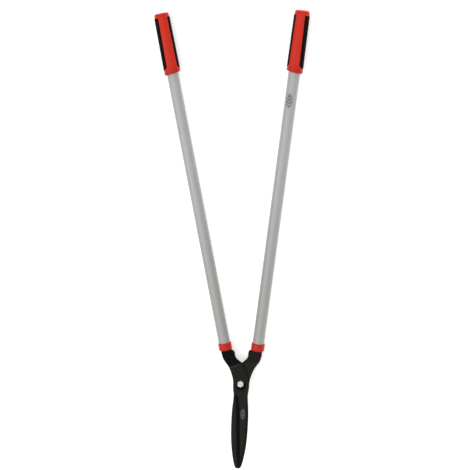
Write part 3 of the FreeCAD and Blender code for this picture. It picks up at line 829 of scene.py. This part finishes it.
def make_nut():
    """A lock nut: a hexagon with both ends chamfered over a round collar that holds the insert."""
    circle, drop, _ = NUT_CHAMFER
    hex_foot = NUT_TOP - NUT_HEX_HEIGHT
    thread, mouth, crown = BOLT_RADIUS + FIT, 4.9, 5.9
    seat_foot, seat_top = NUT_FOOT + 0.44, NUT_FOOT + 2.6
    rings = [turned_z(thread, NUT_TOP - 0.3, TURNS), turned_z(thread + 0.5, NUT_TOP, TURNS),
             turned_z(circle - 0.4, NUT_TOP, TURNS), turned_z(circle, NUT_TOP - drop, TURNS)]
    for end, sign, shares in ((NUT_TOP, 1, (0.5, 1.0)), (hex_foot, -1, (1.0, 0.5))):
        for share in shares:
            rings.append(turned_z(between(circle, share),
                                  chamfer_height(end, NUT_CHAMFER, sign, share), TURNS))
    collar = soften([(circle, hex_foot + drop), (crown + 0.15, hex_foot), (crown, hex_foot - 0.5),
                     (crown, NUT_FOOT + 0.9), (crown - 0.9, NUT_FOOT), (mouth, NUT_FOOT),
                     (mouth, NUT_FOOT + 0.42)], 0.5, 4)
    rings += [turned_z(r, z, TURNS) for r, z in collar]
    rings += [turned_z(INSERT_SEAT_RADIUS, seat_foot, TURNS),
              turned_z(INSERT_SEAT_RADIUS, seat_top, TURNS), turned_z(thread, seat_top, TURNS)]
    points, faces = loft(rings, looped=True)
    finish_piece("lock_nut_turned", points, faces, HEAD, "left_half", "zinc_plate", ["lock_nut"],
                 sharp=22.0)


def make_washer_like(name, section, rounding, slot, node):
    rings = [turned_z(r, z, TURNS) for r, z in soften(section, rounding, 4, closed=True)]
    points, faces = loft(rings, looped=True)
    finish_piece(name, points, faces, HEAD, "left_half", slot, [node], sharp=40.0)


def make_hardware():
    make_bolt()
    make_nut()
    inner = BOLT_RADIUS + WASHER_CLEARANCE
    make_washer_like("flat_washer_pressed",
                     [(inner, WASHER_TOP), (WASHER_RADIUS, WASHER_TOP), (WASHER_RADIUS, DISC_TOP),
                      (inner, DISC_TOP)], 0.4, "zinc_plate", "flat_washer")
    make_washer_like("disc_spring_pressed",
                     [(inner, NUT_TOP), (inner, NUT_TOP + DISC_PLATE), (DISC_RADIUS, DISC_TOP),
                      (DISC_RADIUS, DISC_TOP - DISC_PLATE)], 0.2, "spring_steel", "disc_spring")
    thread, insert_top, insert_foot = BOLT_RADIUS + FIT, NUT_FOOT + 2.55, NUT_FOOT + 0.45
    make_washer_like("nut_insert",
                     [(thread, insert_foot), (INSERT_RADIUS, insert_foot), (INSERT_RADIUS, insert_top),
                      (thread, insert_top)], 0.35, "nylon", "nut_nylon_ring")


# ---------------------------------------------------------------- small printed sprigs
# where each leaf leaves the stem, its lean in degrees, its length: the first and last are shares of
# the sprig's length
LEAVES = ((0.12, 50.0, 0.27), (0.12, -50.0, 0.27), (0.30, 47.0, 0.32), (0.30, -47.0, 0.32),
          (0.49, 42.0, 0.32), (0.49, -42.0, 0.32), (0.67, 34.0, 0.27), (0.67, -34.0, 0.27),
          (0.78, 0.0, 0.22))
LEAF_WIDTH = 0.42                     # share of the leaf's length
STEM_LENGTH, STEM_WIDTH = 0.80, 0.04  # shares of the sprig's length
LEAF_ROWS, STEM_ROWS, LEAF_COLUMNS = 10, 12, 4
INK_HEIGHT, INK_NARROWEST = 0.04, 0.03


def make_sprig(name, length, to_space, place, body, ink, slot):
    """A small leaf sprig printed on a surface. to_space maps (across, along, height) to its frame."""
    points, faces = [], []

    def add_leaf(start, angle, reach, width, rows, pointed=True):
        lean = math.radians(angle)
        top, bottom = [], []
        for r in range(rows + 1):
            u = r / rows
            swell = math.sin(math.pi * u ** 0.85) ** 0.8 if pointed else 1.0
            half = max(INK_NARROWEST, width * swell / 2)
            top_row, bottom_row = [], []
            for c in range(LEAF_COLUMNS + 1):
                w = 2 * c / LEAF_COLUMNS - 1
                across = math.sin(lean) * reach * u + math.cos(lean) * half * w
                along = start + math.cos(lean) * reach * u - math.sin(lean) * half * w
                top_row.append(to_space(across, along, INK_HEIGHT))
                bottom_row.append(to_space(across, along, -INK_HEIGHT))
            top.append(top_row)
            bottom.append(bottom_row)
        leaf_points, leaf_faces = slab(top, bottom)
        offset = len(points)
        points.extend(leaf_points)
        faces.extend(tuple(i + offset for i in face) for face in leaf_faces)

    add_leaf(0.0, 0.0, length * STEM_LENGTH, length * STEM_WIDTH, STEM_ROWS, pointed=False)
    for at, angle, size in LEAVES:
        add_leaf(at * length, angle, size * length, size * length * LEAF_WIDTH, LEAF_ROWS)
    piece = finish_piece(name, points, faces, place, body, slot)
    piece.data.materials.clear()
    piece.data.materials.append(ink)


TUBE_SPRIG_START, TUBE_SPRIG_LENGTH, TUBE_SPRIG_ANGLE = 565.5, 34.0, math.radians(96.0)
BLADE_SPRIG_START, BLADE_SPRIG_LENGTH, BLADE_SPRIG_MIDDLE = -77.0, 25.0, 7.0


def make_sprigs():
    def on_tube(across, along, height):
        angle = TUBE_SPRIG_ANGLE - across / TUBE_RADIUS
        radius = TUBE_RADIUS + height
        return (radius * math.cos(angle), TUBE_SPRIG_START + along, radius * math.sin(angle))

    def on_blade(across, along, height):
        taper = (PLATE - TIP_PLATE) / (BLADE_LENGTH + TAPER_START)
        y = BLADE_SPRIG_START + along
        face = HALF_GAP + PLATE + (y - TAPER_START) * taper
        return (BLADE_SPRIG_MIDDLE + across, y, face + height)

    make_sprig("tube_leaf_print", TUBE_SPRIG_LENGTH, on_tube, TUBE["right"], BODY["right"], DARK_INK,
               "tube_grey")
    make_sprig("blade_leaf_print", BLADE_SPRIG_LENGTH, on_blade, HEAD, BODY["left"], PALE_INK,
               "blade_black")


# ---------------------------------------------------------------- putting it together
for side_name in SIDES:
    make_tube(side_name)
    make_collar(side_name)
    make_shell(side_name)
    make_pad(side_name, "outer", 0.0)
    make_pad(side_name, "inner", math.pi)
make_hardware()
make_sprigs()

CAD_LOOKS = {
    "front_blade": "blade_black",
    "back_blade": "blade_black",
    "pivot_bush": "bush_bronze",
    "friction_washer": "acetal",
    "left_tang_sleeve": "sleeve_plastic",
    "right_tang_sleeve": "sleeve_plastic",
    "left_tang_pin": "zinc_plate",
    "right_tang_pin": "zinc_plate",
}
for node_name, slot_name in CAD_LOOKS.items():
    shown = frame["nodes"][node_name]
    shown.data.materials.clear()
    shown.data.materials.append(BACK_BLADE_LOOK if node_name == "back_blade" else MATERIALS[slot_name])


# ---------------------------------------------------------------- floor, light, camera
FLOOR_HALF = 15.0                                # metres
FLOOR_GLOW = 0.50                                # lifts the floor to near white
TENT_OVERHEAD, TENT_HORIZON = 1.10, 0.30         # brightness of the sky
KEY_PLACE, KEY_AIM = (-1.50, -0.60, 2.30), (0, -0.1, 0)
KEY_SIZE, KEY_POWER = 2.2, 14.0                  # metres, watts


def make_floor():
    corners = [(x * FLOOR_HALF, y * FLOOR_HALF, 0) for x, y in ((-1, -1), (1, -1), (1, 1), (-1, 1))]
    mesh = bpy.data.meshes.new("studio_floor")
    mesh.from_pydata(corners, [], [(0, 1, 2, 3)])
    floor = bpy.data.objects.new("studio_floor", mesh)
    bpy.context.scene.collection.objects.link(floor)
    look = Look("white_studio_floor")
    soft = look.noise(look.coords((1, 1, 1)), 1.5, 2)
    look.set(Base_Color=look.blend(soft, (0.86, 0.86, 0.86), (0.88, 0.88, 0.88)), Roughness=0.9,
             Specular_IOR_Level=0.0, Emission_Color=(1, 1, 1, 1), Emission_Strength=FLOOR_GLOW)
    mesh.materials.append(look.material)


def make_light(name, place, aim, size, power):
    lamp = bpy.data.lights.new(name, "AREA")
    lamp.shape, lamp.size, lamp.energy = "DISK", size, power
    holder = bpy.data.objects.new(name, lamp)
    holder.location = place
    holder.rotation_euler = (Vector(aim) - Vector(place)).to_track_quat("-Z", "Y").to_euler()
    bpy.context.scene.collection.objects.link(holder)


def make_world(overhead, level):
    """A light tent, brightest overhead: its walls start at brightness level at the horizon."""
    world = bpy.data.worlds.new("white_tent")
    bpy.context.scene.world = world
    world.use_nodes = True
    tree = world.node_tree
    place = add_node(tree, "TexCoord")
    height = add_node(tree, "SeparateXYZ", {0: place.outputs["Generated"]}).outputs["Z"]
    fade = add_node(tree, "MapRange", {"Value": height, "From Min": 0.0, "From Max": 1.0,
                                       "To Min": level, "To Max": overhead}).outputs[0]
    tree.links.new(fade, tree.nodes["Background"].inputs["Strength"])
    tree.nodes["Background"].inputs["Color"].default_value = (1.0, 1.0, 1.0, 1)


CAMERA_AZIMUTH, CAMERA_ELEVATION, CAMERA_ROLL = 135.448, 74.425, -136.146   # degrees
CAMERA_AIM = Vector((-0.00669, 0.00929, 0.0172))                            # metres
CAMERA_DISTANCE, CAMERA_FAR = 3.5, 100.0                                    # metres
CAMERA_LENS, CAMERA_SENSOR = 125.04, 36.0


def make_camera():
    azimuth, elevation, roll = (math.radians(v)
                                for v in (CAMERA_AZIMUTH, CAMERA_ELEVATION, CAMERA_ROLL))
    ahead = Vector((-math.sin(azimuth) * math.cos(elevation), math.cos(azimuth) * math.cos(elevation),
                    -math.sin(elevation)))
    right = ahead.cross(Vector((0, 0, 1))).normalized()
    up = right.cross(ahead)
    rolled_right = right * math.cos(roll) + up * math.sin(roll)
    rolled_up = up * math.cos(roll) - right * math.sin(roll)
    lens = bpy.data.cameras.new("camera")
    lens.lens, lens.sensor_width, lens.clip_end = CAMERA_LENS, CAMERA_SENSOR, CAMERA_FAR
    camera = bpy.data.objects.new("camera", lens)
    bpy.context.scene.collection.objects.link(camera)
    camera.matrix_world = matrix_from(rolled_right, rolled_up, -ahead,
                                      CAMERA_AIM - ahead * CAMERA_DISTANCE)
    bpy.context.scene.camera = camera


make_floor()
make_world(TENT_OVERHEAD, TENT_HORIZON)
make_light("key", KEY_PLACE, KEY_AIM, KEY_SIZE, KEY_POWER)
make_camera()
bpy.context.scene.view_settings.view_transform = "Standard"
